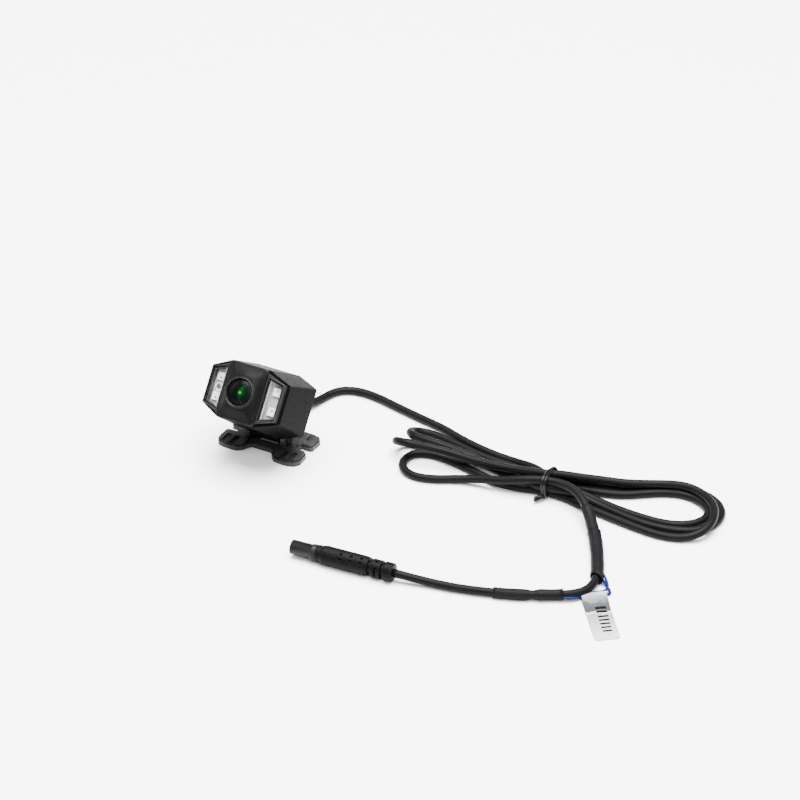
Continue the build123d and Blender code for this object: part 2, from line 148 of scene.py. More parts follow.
RIGHT_INNER = [
    (124, 26.3, 2.1), (131, 28.6, 1.75), (140, 29.8, 1.75), (149, 33.2, 1.75), (156.5, 38.8, 1.75),
    (163, 42.9, 1.75), (170, 45.0, 1.75), (177.3, 43.8, 1.75), (183, 40.2, 1.75), (185.2, 34.6, 1.75),
    (183.2, 28.6, 1.75), (178, 24.2, 1.75), (170.7, 21.9, 1.75), (161, 21.6, 1.75), (149.5, 22.4, 1.75),
    (138, 24.2, 1.9), (127, 23.6, 4.0), (117.8, 21.2, 5.4),
]
LEFT_SECOND = [
    (108, 24.4, 3.6), (98, 26.6, 1.9), (86, 26.9, 1.75), (74, 26.9, 1.75), (62, 26.7, 1.75), (53.8, 25.3, 1.75),
    (51.05, 23.4, 2.7), (49.8, 20.6, 4.5), (50.3, 17.8, 6.5), (52.5, 15.6, 8.2), (55.7, 14.7, 9.2),
    (59.2, 15.3, 9.1), (65, 16.9, 8.6), (73.1, 19.1, 7.4), (85.5, 20.2, 6.4), (97.8, 21.4, 6.2), (108, 22.4, 7.2),
    (117.8, 22.9, 8.45),
]
RIGHT_TOP = [
    (122.3, 25.4, 8.3), (130, 28.9, 7.1), (139, 33.2, 5.9), (147, 36.4, 5.1), (155, 40.4, 4.9), (162.8, 44.6, 4.9),
    (170, 46.8, 4.9), (177.5, 45.2, 4.9), (183.8, 41.2, 4.95), (188, 35.8, 5.0), (190.2, 28.8, 5.1),
    (189.6, 22.4, 4.2), (186.2, 18.4, 2.5), (181, 15.5, 1.75), (174, 13.7, 1.75), (164, 14, 1.75),
    (152, 15.6, 1.75), (140.3, 17.3, 1.75), (134, 18.3, 1.75), (127.8, 19.8, 1.8), (117.8, 19.5, 2.35),
]
LEFT_OPEN = [
    (107, 16.9, 1.85), (99.4, 16.4, 1.75), (93, 17.3, 1.75), (86, 19.1, 1.75), (79, 20.6, 1.75), (72, 22.1, 1.75),
    (64.5, 22.2, 1.75), (58.6, 19.8, 1.75), (56.6, 14.8, 1.75), (57.6, 9.3, 1.75), (61.8, 5.3, 1.75),
    (68, 4.3, 1.75), (75, 6.6, 1.75), (82, 10.4, 1.9), (89.5, 12.6, 2.9), (96.5, 13.4, 4.4), (102.6, 14.1, 5.5),
    (109.8, 15.6, 7.4), (117.8, 18.6, 8.2),
]
TAIL = [
    (126.0, 19.5, 8.6), (134.0, 17.2, 8.9), (141.0, 11.8, 7.6), (147.0, 5.2, 4.8), (155.5, -6.5, 2.9),
    (170.0, -36.0, 2.9), (147.6, -48.6, 2.5), (138.0, -52.6, 2.4), (120.2, -57.9, 2.1), (104.5, -60.5, 2.4),
    (93.0, -63.2, 4.05),
]
ROUTE = LEAD + TO_TIE + RIGHT_OUTER + LEFT_FIRST + RIGHT_INNER + LEFT_SECOND + RIGHT_TOP + LEFT_OPEN + TAIL


def spline_points(points, steps=12):
    """The points, in metres, of the quadratic NURBS line with these control points in millimetres."""
    data = bpy.data.curves.new("line", "CURVE")
    data.dimensions = "3D"
    line = data.splines.new("NURBS")
    line.points.add(len(points) - 1)
    for knot, (x, y, z) in zip(line.points, points):
        knot.co = (x * MM, y * MM, z * MM, 1)
    line.order_u = 3
    line.use_endpoint_u = True
    line.resolution_u = steps
    carrier = bpy.data.objects.new("line", data)
    bpy.context.scene.collection.objects.link(carrier)
    bpy.context.view_layer.update()
    mesh = bpy.data.meshes.new_from_object(carrier)
    out = [v.co.copy() for v in mesh.vertices]
    bpy.data.meshes.remove(mesh)
    bpy.data.objects.remove(carrier)
    return out


def run_lengths(points):
    """The length of the line up to each of its points."""
    total, out = 0.0, [0.0]
    for a, b in zip(points, points[1:]):
        total += (b - a).length
        out.append(total)
    return out


def nearest_index(points, place, start=0, stop=None):
    """The index of the point nearest to a place in millimetres."""
    target = Vector(place) * MM
    stop = len(points) if stop is None else stop
    return min(range(start, stop), key=lambda i: (points[i] - target).length)


def frames_along(points):
    """Tangent, normal and binormal at each point, without twist."""
    tangents = []
    for i in range(len(points)):
        a, b = points[max(i - 1, 0)], points[min(i + 1, len(points) - 1)]
        tangents.append((b - a).normalized())
    normal = tangents[0].orthogonal().normalized()
    out = []
    for t in tangents:
        normal = (normal - t * normal.dot(t)).normalized()
        out.append((t, normal, t.cross(normal)))
    return out


def link(name, mesh, smooth=True):
    if smooth:
        for face in mesh.polygons:
            face.use_smooth = True
    piece = bpy.data.objects.new(name, mesh)
    bpy.context.scene.collection.objects.link(piece)
    return piece


def tube(name, points, radius, sides=20, frames=None):
    """A closed mesh tube of that radius in metres round a line of points, with flat ends."""
    frames = frames or frames_along(points)
    vertices, faces = [], []
    for place, (_, n, b) in zip(points, frames):
        for k in range(sides):
            a = 2 * math.pi * k / sides
            vertices.append(place + (n * math.cos(a) + b * math.sin(a)) * radius)
    for i in range(len(points) - 1):
        for k in range(sides):
            m = (k + 1) % sides
            faces.append((i * sides + k, i * sides + m, (i + 1) * sides + m, (i + 1) * sides + k))
    faces.append(tuple(range(sides))[::-1])
    faces.append(tuple(range((len(points) - 1) * sides, len(points) * sides)))
    mesh = bpy.data.meshes.new(name)
    mesh.from_pydata([tuple(v) for v in vertices], [], faces)
    mesh.validate()
    piece = link(name, mesh)
    for face in mesh.polygons[-2:]:
        face.use_smooth = False
    return piece


# ---------------------------------------------------------------- materials


GRAIN_DEPTH = 0.00002


class Nodes:
    """A small helper for building a procedural material."""

    def __init__(self, name):
        self.material = bpy.data.materials.new(name)
        self.material.use_nodes = True
        self.tree = self.material.node_tree
        self.shader = self.tree.nodes["Principled BSDF"]
        self.place = self.add("ShaderNodeTexCoord").outputs["Object"]

    def add(self, kind, **values):
        node = self.tree.nodes.new(kind)
        for key, value in values.items():
            setattr(node, key, value)
        return node

    def join(self, source, target):
        self.tree.links.new(source, target)

    def set(self, **values):
        for key, value in values.items():
            self.shader.inputs[key.replace("_", " ")].default_value = value

    def noise(self, scale, detail=3.0, rough=0.5, stretch=None):
        node = self.add("ShaderNodeTexNoise")
        node.inputs["Scale"].default_value = scale
        node.inputs["Detail"].default_value = detail
        node.inputs["Roughness"].default_value = rough
        source = self.place
        if stretch:
            mapping = self.add("ShaderNodeMapping")
            mapping.inputs["Scale"].default_value = stretch
            self.join(source, mapping.inputs["Vector"])
            source = mapping.outputs["Vector"]
        self.join(source, node.inputs["Vector"])
        return node.outputs["Fac"]

    def spread(self, source, low, high, from_low=0.3, from_high=0.7):
        node = self.add("ShaderNodeMapRange")
        node.inputs["From Min"].default_value = from_low
        node.inputs["From Max"].default_value = from_high
        node.inputs["To Min"].default_value = low
        node.inputs["To Max"].default_value = high
        self.join(source, node.inputs["Value"])
        return node.outputs["Result"]

    def ramp(self, source, *stops):
        node = self.add("ShaderNodeValToRGB")
        ramp = node.color_ramp
        while len(ramp.elements) < len(stops):
            ramp.elements.new(0.5)
        for element, (at, colour) in zip(ramp.elements, stops):
            element.position, element.color = at, (*colour, 1)
        self.join(source, node.inputs["Fac"])
        return node.outputs["Color"]

    def mix(self, factor, a, b):
        node = self.add("ShaderNodeMix", data_type="RGBA")
        for socket, value in ((node.inputs["Factor"], factor), (node.inputs["A"], a), (node.inputs["B"], b)):
            if isinstance(value, bpy.types.NodeSocket):
                self.join(value, socket)
            elif isinstance(value, (int, float)):
                socket.default_value = value
            else:
                socket.default_value = (*value, 1)
        return node.outputs["Result"]

    def bump(self, source, distance, strength=1.0, under=None):
        node = self.add("ShaderNodeBump")
        node.inputs["Distance"].default_value = distance
        node.inputs["Strength"].default_value = strength
        self.join(source, node.inputs["Height"])
        if under:
            self.join(under, node.inputs["Normal"])
        return node.outputs["Normal"]

    def round_edges(self, radius=0.00022):
        node = self.add("ShaderNodeBevel", samples=4)
        node.inputs["Radius"].default_value = radius
        return node.outputs["Normal"]

    def out(self, colour=None, rough=None, normal=None):
        if colour is not None:
            self.join(colour, self.shader.inputs["Base Color"])
        if rough is not None:
            self.join(rough, self.shader.inputs["Roughness"])
        if normal is not None:
            self.join(normal, self.shader.inputs["Normal"])
        return self.material


def grey(value):
    return (value, value, value)


def moulded(name, dark, light, rough=(0.42, 0.55), grain=4200, edge=None, spec=0.06):
    """Moulded plastic: fine spark-erosion grain, faint cloudiness and lighter edges, partly rubbed wear and partly a
    painted highlight.
    """
    m = Nodes(name)
    m.set(Specular_IOR_Level=spec)
    fine, cloud = m.noise(grain, 2), m.noise(90, 3)
    colour = m.ramp(cloud, (0.3, dark), (0.7, light))
    if edge:
        # edges picked out by pointiness take the lighter edge colour: rubbed wear plus a painted highlight along them
        point = m.add("ShaderNodeNewGeometry").outputs["Pointiness"]
        edge_wear_and_highlight = m.spread(point, 0.0, 1.0, 0.515, 0.58)
        colour = m.mix(edge_wear_and_highlight, colour, edge)
    return m.out(colour, m.spread(m.noise(700, 3), *rough), m.bump(fine, GRAIN_DEPTH, 0.08, m.round_edges()))


def rubber(name, dark, light, rough=(0.5, 0.66)):
    """Extruded or shrunk rubbery plastic: soft mottling and a fine drawn surface."""
    m = Nodes(name)
    m.set(Specular_IOR_Level=0.045)
    soft, fine = m.noise(160, 4), m.noise(2600, 3, 0.6)
    return m.out(m.ramp(soft, (0.3, dark), (0.72, light)), m.spread(soft, *rough), m.bump(fine, 0.00004, 0.5))


def metal(name, dark, light, rough=(0.22, 0.38)):
    """Bare or plated metal with a fine drawn sheen."""
    m = Nodes(name)
    m.set(Metallic=1.0)
    brushed = m.noise(1500, 4, 0.6, (1, 1, 6))
    return m.out(m.ramp(brushed, (0.3, dark), (0.7, light)), m.spread(brushed, *rough), m.bump(brushed, 0.00001, 0.4))


def clear(name, tint=(1, 1, 1), rough=0.02, ior=1.49):
    """Clear glass or acrylic, with the faintest ripple of a moulded face."""
    m = Nodes(name)
    m.set(Transmission_Weight=1.0, IOR=ior, Roughness=rough)
    ripple = m.noise(60, 2)
    tone = tuple(0.985 * c for c in tint)
    return m.out(m.ramp(ripple, (0.3, tone), (0.7, tint)), None, m.bump(ripple, 0.00003, 0.15))


def pane(name):
    """A clear moulded window: light passes straight in and the face keeps its own sheen."""
    m = Nodes(name)
    m.set(Alpha=0.1, Roughness=0.06, Specular_IOR_Level=0.5)
    ripple = m.noise(60, 2)
    return m.out(m.ramp(ripple, (0.3, grey(0.02)), (0.7, grey(0.03))), None, m.bump(ripple, 0.00003, 0.15))


def plain(name, dark, light, rough=(0.4, 0.55), scale=900, depth=GRAIN_DEPTH, **sockets):
    """A finely mottled surface; further values go straight to the shader's inputs."""
    m = Nodes(name)
    m.set(**sockets)
    grain = m.noise(scale, 3)
    return m.out(m.ramp(grain, (0.3, dark), (0.7, light)), m.spread(grain, *rough), m.bump(grain, depth, 0.5))


def wrinkled(name, dark, light):
    """Thin silvered film: soft creases, with painted shade and reflection: a dark band by the crease and a light
    painted highlight line at it, their edges wavering.
    """
    m = Nodes(name)
    m.set(Specular_IOR_Level=0.08)
    fold, cloud = m.noise(110, 3), m.noise(260, 2)
    along = m.add("ShaderNodeSeparateXYZ")
    m.join(m.place, along.inputs["Vector"])
    painted_band_place = m.add("ShaderNodeMath", operation="MULTIPLY_ADD")
    m.join(cloud, painted_band_place.inputs[0])
    painted_band_place.inputs[1].default_value = 0.006  # metres by which the painted band's edges waver along the sheet
    m.join(along.outputs["X"], painted_band_place.inputs[2])
    level = m.spread(painted_band_place.outputs["Value"], 0.0, 1.0, 0.0, 0.032)
    # painted shade and reflection along the sheet: a dark band by the upper layer's crease and a light painted
    # highlight line at the crease
    colour = m.ramp(
        level, (0.05, light), (0.17, grey(0.2)), (0.3, dark), (0.43, dark), (0.46, grey(0.5)), (0.5, grey(0.2)),
        (1.0, light),
    )
    return m.out(colour, m.spread(fold, 0.22, 0.4), m.bump(fold, 0.0004, 0.25))


FINISH = {
    # where an edge colour is given it is lighter than the plastic: rubbed wear plus a painted edge highlight
    "housing_black": moulded("housing_black", grey(0.0013), grey(0.0019), (0.42, 0.54), spec=0.012),
    "cover_black": moulded("cover_black", grey(0.0032), grey(0.0044), (0.34, 0.46), edge=grey(0.012), spec=0.05),
    "panel_black": moulded("panel_black", grey(0.0026), grey(0.0034), (0.33, 0.42), grain=5200,
                           edge=grey(0.008), spec=0.035),
    "gasket_rubber": rubber("gasket_rubber", grey(0.0042), grey(0.0038)),
    "window_clear": pane("window_clear"),
    "barrel_black": moulded("barrel_black", grey(0.0042), grey(0.0038), (0.3, 0.42), edge=grey(0.011)),
    "ring_black": moulded("ring_black", grey(0.0055), grey(0.0042), (0.22, 0.32), edge=grey(0.017), spec=0.1),
    "lens_glass": clear("lens_glass", (0.86, 0.97, 0.9), 0.0, 1.62),
    "holder_black": moulded("holder_black", grey(0.0038), grey(0.0052)),
    "filter_blue": clear("filter_blue", (0.35, 0.75, 0.95)),
    "sensor_chip": plain("sensor_chip", (0.05, 0.06, 0.09), (0.09, 0.08, 0.12), (0.12, 0.2)),
    "board_green": plain("board_green", (0.02, 0.12, 0.05), (0.03, 0.16, 0.07), (0.25, 0.4)),
    "chip_black": plain("chip_black", grey(0.0038), grey(0.02)),
    "screw_steel": metal("screw_steel", grey(0.45), grey(0.62)),
    "connector_white": plain("connector_white", (0.7, 0.69, 0.64), (0.78, 0.77, 0.72)),
    "led_board_white": plain("led_board_white", (0.34, 0.355, 0.35), (0.4, 0.415, 0.41), (0.3, 0.45)),
    "led_board_green": plain("led_board_green", (0.27, 0.34, 0.29), (0.32, 0.39, 0.34), (0.3, 0.45)),
    "led_white": plain("led_white", (0.76, 0.76, 0.74), (0.84, 0.84, 0.83), (0.35, 0.5)),
    "light_sensor_grey": plain("light_sensor_grey", (0.07, 0.08, 0.085), (0.1, 0.11, 0.115), (0.2, 0.3)),
    "cord_black": rubber("cord_black", (0.0024, 0.0024, 0.0027), (0.0033, 0.0033, 0.0036), (0.4, 0.54)),
    "base_black": moulded("base_black", grey(0.009), grey(0.013), (0.34, 0.46), edge=grey(0.022), spec=0.2),
    "foam_black": plain("foam_black", grey(0.0038), grey(0.03), (0.85, 0.95), 1800, 0.0001),
    "liner_red": plain("liner_red", (0.10, 0.004, 0.003), (0.14, 0.006, 0.004), (0.25, 0.35), 300),
    "screw_black": metal("screw_black", grey(0.03), grey(0.05), (0.3, 0.45)),
    "washer_nylon": plain("washer_nylon", grey(0.02), grey(0.03)),
    "tie_black": plain("tie_black", grey(0.003), grey(0.0026), (0.16, 0.26), 500, 0.00003,
                       Specular_IOR_Level=0.11),
    "sleeve_black": rubber("sleeve_black", (0.0028, 0.0028, 0.0032), (0.004, 0.004, 0.0045), (0.48, 0.62)),
    "wire_blue": plain("wire_blue", (0.0005, 0.006, 0.05), (0.0009, 0.0095, 0.072), (0.4, 0.5), 700,
                       Specular_IOR_Level=0.08),
    "label_silver": plain("label_silver", grey(0.55), grey(0.7), (0.2, 0.36), 120, 0.00004, Metallic=0.8),
    "plug_black": moulded("plug_black", grey(0.0018), grey(0.0023), (0.42, 0.54), edge=grey(0.007), spec=0.035),
    "plug_shell_black": moulded("plug_shell_black", grey(0.0055), grey(0.0042), (0.32, 0.44), edge=grey(0.011)),
    "pin_brass": metal("pin_brass", (0.7, 0.5, 0.2), (0.85, 0.64, 0.3)),
}


# looks of the finer pieces, each standing in one of the slots above
# the label's film, with a painted shade band and a painted highlight line at its crease
LABEL_PAINTED_REFLECTION = wrinkled("label_look", (0.032, 0.037, 0.043), (0.4, 0.41, 0.43))
INK = plain("label_ink", grey(0.0015), grey(0.0025), (0.5, 0.6), Specular_IOR_Level=0.03)
TRAY_DARK = plain("tray_dark", grey(0.02), grey(0.03), (0.3, 0.4))
# painted highlight: the window lips are coloured lighter than the cover plastic
LIP_HIGHLIGHT = plain("lip_look", grey(0.008), grey(0.012), (0.3, 0.4), 900, 0.00001, Specular_IOR_Level=0.16)
# painted highlight: the lens flange is coloured lighter than the barrel plastic
RIM_HIGHLIGHT = plain("rim_look", grey(0.014), grey(0.02), (0.25, 0.35), 900, 0.00001, Specular_IOR_Level=0.25)
# painted highlight: a light colour for the strip along the hinge lug's edge
HINGE_HIGHLIGHT = plain("hinge_painted_highlight", grey(0.04), grey(0.055), (0.3, 0.4), 900, 0.00001, Specular_IOR_Level=0.3)
BARE_WIRE = metal("bare_wire", grey(0.55), grey(0.7))
DIE_LOOK = plain("die_look", (0.12, 0.06, 0.035), (0.17, 0.09, 0.05), (0.3, 0.4))


def paint(piece, slot_name, material=None):
    """Give a piece its slot, with that slot's own finish or another look."""
    piece.data.materials.clear()
    piece.data.materials.append(material or FINISH[slot_name])


for node in NODES.values():
    look = FINISH[node.data.materials[0].name.split(".")[0]]
    node.data.materials.clear()
    node.data.materials.append(look)

# ---------------------------------------------------------------- pieces of the head

# head coordinates in millimetres: x along the hinge pin, -y the way the camera looks, z up the head
HEAD = Matrix.Translation((0, -0.020, 0.0359)) @ Matrix.Rotation(math.radians(-37), 4, "X")
SIDES = ((-1, "left"), (1, "right"))

# the slanted window face in plan, from (x, y) beside the panel to (x, y) at the head's side
BEZEL = (9.05, -1.3, 17.1, -0.28)
BEZEL_TURN = math.atan2(BEZEL[3] - BEZEL[1], BEZEL[2] - BEZEL[0])

# the window opening: (x, half height) of its inner and outer edges
WINDOW_IN = (10.25, 8.55)
WINDOW_OUT = (15.84, 6.9)
LED_X = 13.0
LED_Z = 4.2
LED_DEPTH = 3.88

# the panel: half width, half height, corner radius, y of its rim and of its top, radius of its bore
PANEL_HALF = (9.0, 12.1)
PANEL_CORNER = 1.9
PANEL_RIM = -1.8
PANEL_TOP = -4.35
PANEL_BORE = 6.87
LENS_FRONT = -4.8


def mesh_piece(name, vertices, faces, place=None, smooth=True, bevel=None):
    """A mesh piece from points in millimetres; place is a matrix in metres; bevel rounds its edges."""
    mesh = bpy.data.meshes.new(name)
    mesh.from_pydata([tuple(c * MM for c in v) for v in vertices], [], faces)
    if bevel:
        work = bmesh.new()
        work.from_mesh(mesh)
        bmesh.ops.bevel(work, geom=list(work.edges), offset=bevel * MM, segments=3, profile=0.5, affect="EDGES")
        work.to_mesh(mesh)
        work.free()
    work = bmesh.new()
    work.from_mesh(mesh)
    bmesh.ops.recalc_face_normals(work, faces=work.faces)
    work.to_mesh(mesh)
    work.free()
    piece = link(name, mesh, smooth)
    if place is not None:
        piece.matrix_world = place
    return piece


def box_points(x0, x1, y0, y1, z0, z1):
    """The corners and faces of a box in millimetres."""
    points = [(x, y, z) for x in (x0, x1) for y in (y0, y1) for z in (z0, z1)]
    return points, [(0, 1, 3, 2), (4, 6, 7, 5), (0, 4, 5, 1), (2, 3, 7, 6), (0, 2, 6, 4), (1, 5, 7, 3)]


def bridge(rows, closed=False):
    """Faces between equally long rows of vertex numbers, and from the last row back to the first if closed."""
    faces = []
    for a, b in zip(rows, rows[1:] + (rows[:1] if closed else [])):
        for k in range(len(a)):
            m = (k + 1) % len(a)
            faces.append(tuple(dict.fromkeys((a[k], a[m], b[m], b[k]))))
    return faces


def circle(count):
    return [2 * math.pi * k / count for k in range(count)]


def rings(name, profile, place, sides=96, closed=False):
    """A solid of revolution about local y from (y, r) points in millimetres; a radius of 0 closes an end."""
    vertices, rows = [], []
    for y, r in profile:
        if r <= 0:
            rows.append([len(vertices)] * sides)
            vertices.append((0, y, 0))
        else:
            rows.append(list(range(len(vertices), len(vertices) + sides)))
            vertices += [(r * math.cos(a), y, r * math.sin(a)) for a in circle(sides)]
    return mesh_piece(name, vertices, bridge(rows, closed), place)


def arc_points(y, r, size, turn0, turn1, count=5):
    """Points of a round corner of that size about (y, r), between two angles in degrees."""
    out = []
    for k in range(count):
        a = math.radians(turn0 + (turn1 - turn0) * k / (count - 1))
        out.append((y + size * math.sin(a), r + size * math.cos(a)))
    return out


def panel_outline(count):
    """The panel's round-cornered edge as (angle, distance from the lens axis)."""
    half_x, half_z = PANEL_HALF
    cx, cz = half_x - PANEL_CORNER, half_z - PANEL_CORNER
    out = []
    for a in circle(count):
        c, d = math.cos(a), math.sin(a)
        reach = min(half_x / max(abs(c), 1e-6), half_z / max(abs(d), 1e-6))
        x, z = c * reach, d * reach
        if abs(x) > cx and abs(z) > cz:
            ox, oz = math.copysign(cx, x), math.copysign(cz, z)
            along = ox * c + oz * d
            reach = along + math.sqrt(max(along * along - (ox * ox + oz * oz) + PANEL_CORNER * PANEL_CORNER, 0))
            x, z = c * reach, d * reach
        out.append((a, math.hypot(x, z)))
    return out


def centre_panel():
    """The raised panel: round-cornered sides and a soft swell towards the lens ring."""
    count, steps = 240, 14
    outline = panel_outline(count)
    vertices, rows = [], []

    def row(distance, y):
        rows.append(range(len(vertices), len(vertices) + count))
        for a, far in outline:
            vertices.append((distance(far) * math.cos(a), y, distance(far) * math.sin(a)))

    row(lambda far: PANEL_BORE, PANEL_TOP + 1.2)
    row(lambda far: PANEL_BORE, PANEL_TOP)
    for step in range(1, steps + 1):
        t = step / steps
        fall = 0.5 - 0.5 * math.cos(math.pi * t)
        y = PANEL_TOP + (PANEL_RIM - PANEL_TOP - 0.25) * (0.35 * fall + 0.65 * t)
        row(lambda far: PANEL_BORE + (far - 0.45 - PANEL_BORE) * t, y)
    for inset, y in ((0.2, PANEL_RIM - 0.13), (0.06, PANEL_RIM + 0.02), (0.0, PANEL_RIM + 0.3), (0.0, 0.0)):
        row(lambda far: far - inset, y)
    row(lambda far: PANEL_BORE, 0.0)
    piece = mesh_piece("centre_panel_look", vertices, bridge(rows, True), HEAD)
    paint(piece, "panel_black")
    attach(piece, "camera_head")
    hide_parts("centre_panel")


centre_panel()

profile = [(LENS_FRONT + 3.0, 6.85)] + arc_points(LENS_FRONT + 0.3, 6.55, 0.3, 0, -90)
profile += [(LENS_FRONT + y, r) for y, r in ((0.02, 6.42), (0.28, 6.38), (1.0, 6.36), (1.1, 6.05), (3.0, 6.05))]
# the flange is painted lighter than the barrel, a painted highlight on its rim
flange = rings("lens_flange_look", profile, HEAD, closed=True)
paint(flange, "barrel_black", RIM_HIGHLIGHT)
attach(flange, "camera_head")
profile = [
    (-3.8, 6.3), (-4.75, 6.3), (-4.93, 6.22), (-4.95, 6.05), (-4.88, 5.9), (-4.6, 5.82), (-4.1, 5.76), (-3.8, 5.74),
]
collar = rings("retaining_ring_look", profile, HEAD, closed=True)
paint(collar, "ring_black")
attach(collar, "camera_head")
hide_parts("lens_retaining_ring")


def lens_look():
    """Coated glass with painted reflections: near-black, a painted green reflection on its right side, a brighter
    painted arc along it and a small bright painted highlight at the centre.
    """
    m = Nodes("lens_look")
    m.set(Specular_IOR_Level=0.05)

    def spot(x, z, soft0, soft1):
        """1 inside a round spot about (x, z) mm, fading to 0 between two radii in mm."""
        node = m.add("ShaderNodeVectorMath", operation="DISTANCE")
        flat = m.add("ShaderNodeMapping")
        flat.inputs["Scale"].default_value = (1, 0, 1)
        m.join(m.place, flat.inputs["Vector"])
        m.join(flat.outputs["Vector"], node.inputs[0])
        node.inputs[1].default_value = (x * MM, 0, z * MM)
        return m.spread(node.outputs["Value"], 1.0, 0.0, soft0 * MM, soft1 * MM)

    haze = m.noise(420, 2)
    dark = m.ramp(haze, (0.3, (0.0008, 0.0008, 0.001)), (0.7, (0.0014, 0.0014, 0.0018)))
    # painted reflection: the coating's green on the right side, with a brighter painted arc along its edge
    green_reflection = m.ramp(haze, (0.3, (0.0004, 0.0026, 0.0012)), (0.7, (0.0006, 0.004, 0.0018)))
    body = m.mix(spot(4.3, -0.3, 4.4, 5.1), dark, green_reflection)
    reflection_arc = m.add("ShaderNodeMath", operation="SUBTRACT")
    m.join(spot(4.3, -0.3, 4.5, 4.9), reflection_arc.inputs[0])
    m.join(spot(5.3, -0.3, 3.9, 5.5), reflection_arc.inputs[1])
    reflection_arc.use_clamp = True
    body = m.mix(reflection_arc.outputs["Value"], body, (0.0008, 0.009, 0.003))
    # small bright painted highlights near the centre
    body = m.mix(spot(0.7, -0.1, 0.5, 2.0), body, (0.001, 0.02, 0.003))
    body = m.mix(spot(1.0, 1.5, 0.3, 1.0), body, (0.001, 0.02, 0.004))
    body = m.mix(spot(0.5, -0.05, 0.42, 0.7), body, (0.02, 0.14, 0.001))
    body = m.mix(spot(0, 0, 4.9, 5.4), (0.004, 0.004, 0.004), body)
    return m.out(body, m.spread(haze, 0.24, 0.3), m.bump(haze, 0.000002, 0.2))


bulge, radius = 1.25, 5.78
ball = (radius * radius + bulge * bulge) / (2 * bulge)
profile = [(-1.75, 0), (-1.75, 6.0), (-3.64, 6.0), (-3.64, 5.8)]
for k in range(21):
    r = radius * math.sin(math.pi / 2 * (1 - k / 20))
    profile.append((-3.65 + ball - bulge - math.sqrt(ball * ball - r * r), r))
glass = rings("front_glass", profile, HEAD)
# the front glass carries a painted reflection: green right side, bright arc and bright centre
paint(glass, "lens_glass", lens_look())
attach(glass, "camera_head")
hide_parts("front_lens")


def bezel_y(x, depth):
    return BEZEL[1] + (x - BEZEL[0]) * math.tan(BEZEL_TURN) + depth


def on_bezel(side, x, z, depth):
    """Matrix of a place behind a window: local +z points out of the front, +y up the head."""
    y = bezel_y(x, depth)
    u = Vector((side * math.cos(BEZEL_TURN), math.sin(BEZEL_TURN), 0))
    out = Vector((side * math.sin(BEZEL_TURN), -math.cos(BEZEL_TURN), 0))
    up = out.cross(u)
    turn = Matrix((u, up, out)).transposed().to_4x4()
    return HEAD @ Matrix.Translation((side * x * MM, y * MM, z * MM)) @ turn


def join_pieces(name, pieces):
    """One object from several pieces, in the first one's frame."""
    first = pieces[0]
    work = bmesh.new()
    for piece in pieces:
        mesh = piece.data.copy()
        mesh.transform(first.matrix_world.inverted() @ piece.matrix_world)
        work.from_mesh(mesh)
        bpy.data.meshes.remove(mesh)
    work.to_mesh(first.data)
    work.free()
    for piece in pieces[1:]:
        old = piece.data
        bpy.data.objects.remove(piece)
        bpy.data.meshes.remove(old)
    first.name = name
    return first


LED_BODY = (-1.55, 1.55, -1.75, 1.75, 0.0, 0.85)
DIE_R = 0.42
DIE_SIDES = 20


def led_rim(place):
    """The raised white rim round a light's dished face."""
    vertices = []
    for half_x, half_y, z in ((1.42, 1.62, 0.85), (1.42, 1.62, 1.06), (1.05, 1.2, 1.06), (1.05, 1.2, 0.9)):
        vertices += [(-half_x, -half_y, z), (half_x, -half_y, z), (half_x, half_y, z), (-half_x, half_y, z)]
    rows = [range(a, a + 4) for a in (0, 4, 8, 12)]
    return mesh_piece("led", vertices, bridge(rows) + [(12, 13, 14, 15), (3, 2, 1, 0)], place, False)


def led_die(side, place):
    """The small dark die behind a light's face."""
    x = side * (0.35 if side > 0 else 0.3)
    outline = [(x + DIE_R * math.cos(a), 0.55 + DIE_R * math.sin(a)) for a in circle(DIE_SIDES)]
    vertices = [(*point, h) for h in (0.9, 1.0) for point in outline]
    low, high = range(DIE_SIDES), range(DIE_SIDES, 2 * DIE_SIDES)
    return mesh_piece("die", vertices, [tuple(low)[::-1], tuple(high)] + bridge([low, high]), place, False)


def make_lights(side, label):
    bodies, dies = [], []
    for z in (-LED_Z, LED_Z):
        place = on_bezel(side, LED_X, z, LED_DEPTH)
        bodies.append(mesh_piece("led", *box_points(*LED_BODY), place, True, 0.12))
        bodies.append(led_rim(place))
        dies.append(led_die(side, place))
    body = join_pieces("leds_%s_look" % label, bodies)
    paint(body, "led_white")
    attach(body, "camera_head")
    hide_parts("leds_" + label)
    dots = join_pieces("led_dies_" + label, dies)
    paint(dots, "led_white", DIE_LOOK)
    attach(dots, "camera_head")


def window_corners(grow_in, grow):
    """The (x, z) corners of a window opening, grown by that much."""
    (x0, z0), (x1, z1) = WINDOW_IN, WINDOW_OUT
    return (x0 - grow_in, -z0 - grow), (x1 + grow, -z1 - grow), (x1 + grow, z1 + grow), (x0 - grow_in, z0 + grow)


def window_tray(side, label):
    """The thin-walled tray between a window and its lights' board."""
    vertices = []
    for grow, depth in ((0.0, 1.05), (0.0, 3.86), (-0.28, 3.86), (-0.28, 1.05)):
        for x, z in window_corners(grow, grow):
            gap = -0.02 if x > LED_X else 0.02
            vertices.append((side * (x + gap), bezel_y(x, depth), z * 0.995))
    rows = [range(a, a + 4) for a in range(0, 16, 4)]
    tray = mesh_piece("window_tray_" + label, vertices, bridge(rows, True), HEAD, False)
    paint(tray, "led_board_white", TRAY_DARK)
    tray.data.materials.append(FINISH["led_board_white"])
    for index, face in enumerate(tray.data.polygons):
        face.material_index = 1 if index % 4 == 3 else 0
    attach(tray, "camera_head")


